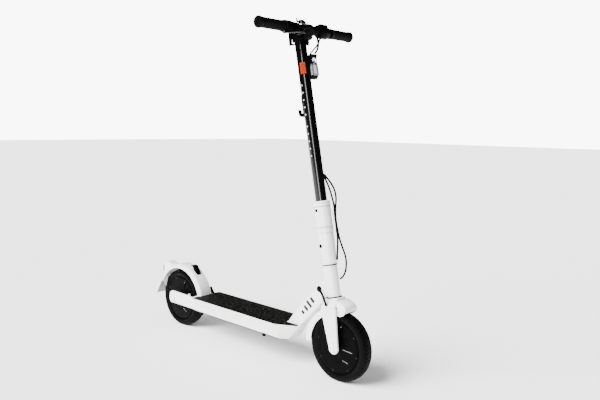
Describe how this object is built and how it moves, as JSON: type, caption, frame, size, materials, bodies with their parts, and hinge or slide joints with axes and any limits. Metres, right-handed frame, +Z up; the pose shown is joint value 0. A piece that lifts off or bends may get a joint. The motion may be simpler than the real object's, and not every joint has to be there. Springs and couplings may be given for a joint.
{
  "type": "electric kick scooter",
  "caption": "Folding electric kick scooter: flat deck on air tyres, angled neck, tall telescoped-collar stem, straight bar, fenders, lights and kickstand, for riding standing up.",
  "frame": {"origin": "on the ground, at the middle of the overall length and width, wheels straight and stem upright", "axes": "+X forwards, the way it rides; +Y to the rider's left; +Z up"},
  "size_m": [1.2344, 0.486, 1.2872],
  "materials": {
    "white_paint": "gloss white paint",
    "gloss_black": "gloss black paint",
    "satin_black": "satin moulded plastic and powder coat",
    "rubber": "moulded rubber",
    "tyre": "tread rubber",
    "steel": "bright machined steel",
    "alloy": "cast alloy",
    "amber_reflector": "prismatic reflector",
    "red_lens": "tinted lens",
    "clear_lens": "clear moulded lens",
    "grey_plate": "blank reflective plate",
    "battery_wrap": "shrink wrap",
    "controller_case": "bead-blasted case"
  },
  "bodies": {
    "frame": {"deck_frame": "white_paint", "bottom_cover": "satin_black", "battery_pack": "battery_wrap", "controller": "controller_case", "deck_mat": "rubber", "neck_arm": "white_paint", "head_tube": "white_paint", "lower_bearing": "satin_black", "upper_bearing": "satin_black", "rear_arm_right": "white_paint", "rear_arm_left": "white_paint", "rear_axle": "steel", "rear_brake": "alloy", "rear_fender": "white_paint", "fender_clip": "satin_black", "rear_light_lens": "red_lens", "rear_plate": "grey_plate", "motor_cable": "rubber", "kickstand_bracket": "satin_black"},
    "fork": {"steering_tube": "steel", "fork_crown": "white_paint", "fork_leg_right": "white_paint", "fork_leg_left": "white_paint", "front_fender": "white_paint", "front_axle": "steel", "fold_base": "white_paint", "fold_pivot_bolt": "satin_black", "lower_cable_electric": "rubber", "lower_cable_brake": "rubber"},
    "stem": {"stem_knuckle": "white_paint", "stem_tube": "gloss_black", "stem_clamp": "satin_black", "handlebar": "satin_black", "grip_right": "rubber", "grip_left": "rubber", "headlight_body": "satin_black", "headlight_lens": "clear_lens", "side_reflector_right": "amber_reflector", "side_reflector_left": "amber_reflector", "bag_hook": "satin_black", "bell_dome": "gloss_black", "brake_perch": "satin_black", "throttle_housing": "satin_black", "control_unit": "satin_black", "bar_cable_brake": "rubber", "bar_cable_electric": "rubber", "stem_cable_brake": "rubber", "stem_cable_electric": "rubber"},
    "lock_sleeve": {"lock_sleeve": "white_paint"},
    "lock_button": {"lock_button": "satin_black"},
    "brake_lever": {"brake_lever": "steel"},
    "throttle": {"throttle_paddle": "satin_black"},
    "bell_striker": {"bell_striker": "satin_black"},
    "control_button": {"control_button": "amber_reflector"},
    "front_wheel": {"front_tyre": "tyre", "front_hub": "satin_black"},
    "rear_wheel": {"rear_tyre": "tyre", "rear_hub": "satin_black"},
    "kickstand": {"kickstand_leg": "satin_black"},
    "port_cap": {"charge_port_cap": "rubber"}
  },
  "joints": [
    {"name": "steering", "type": "hinge", "parent": "frame", "child": "fork", "pos_m": [0.49043, 0, 0.127], "axis": [-0.2011, 0, 0.9796], "range_deg": [-55, 55], "deforming": ["motor_cable", "lower_cable_brake"]},
    {"name": "stem_fold", "type": "hinge", "parent": "fork", "child": "stem", "pos_m": [0.40842, 0, 0.48176], "axis": [0, -1, 0], "range_deg": [0, 91], "deforming": ["stem_cable_brake", "stem_cable_electric", "lower_cable_electric"]},
    {"name": "sleeve_slide", "type": "slide", "parent": "stem", "child": "lock_sleeve", "axis": [-0.2011, 0, 0.9796], "range_m": [0, 0.045]},
    {"name": "lock_button_press", "type": "slide", "parent": "lock_sleeve", "child": "lock_button", "axis": [0, 1, 0], "range_m": [0, 0.0018], "stiffness_N_per_m": 400},
    {"name": "brake_squeeze", "type": "hinge", "parent": "stem", "child": "brake_lever", "pos_m": [0.33183, -0.058, 1.2378], "axis": [0.2011, 0, -0.9796], "range_deg": [0, 12], "stiffness_Nm_per_rad": 0.8},
    {"name": "throttle_push", "type": "hinge", "parent": "stem", "child": "throttle", "pos_m": [0.2994, -0.083, 1.25156], "axis": [0, -1, 0], "range_deg": [0, 25], "stiffness_Nm_per_rad": 0.15},
    {"name": "bell_flick", "type": "hinge", "parent": "stem", "child": "bell_striker", "pos_m": [0.30174, -0.0542, 1.27243], "axis": [0.9938, 0, -0.1115], "range_deg": [0, 15], "stiffness_Nm_per_rad": 0.05},
    {"name": "control_press", "type": "slide", "parent": "stem", "child": "control_button", "axis": [0.9796, 0, 0.2011], "range_m": [0, 0.0017], "stiffness_N_per_m": 300},
    {"name": "front_wheel_spin", "type": "hinge", "parent": "fork", "child": "front_wheel", "pos_m": [0.49043, 0, 0.127], "axis": [0, 1, 0], "continuous": true},
    {"name": "rear_wheel_spin", "type": "hinge", "parent": "frame", "child": "rear_wheel", "pos_m": [-0.43257, 0, 0.127], "axis": [0, 1, 0], "continuous": true},
    {"name": "kickstand_swing", "type": "hinge", "parent": "frame", "child": "kickstand", "pos_m": [-0.01257, 0.052, 0.09], "axis": [0.4231, -0.9061, 0], "range_deg": [0, 85]},
    {"name": "port_cap_open", "type": "hinge", "parent": "frame", "child": "port_cap", "pos_m": [0.30043, 0.024, 0.189], "axis": [1, 0, 0], "range_deg": [0, 100]}
  ]
}
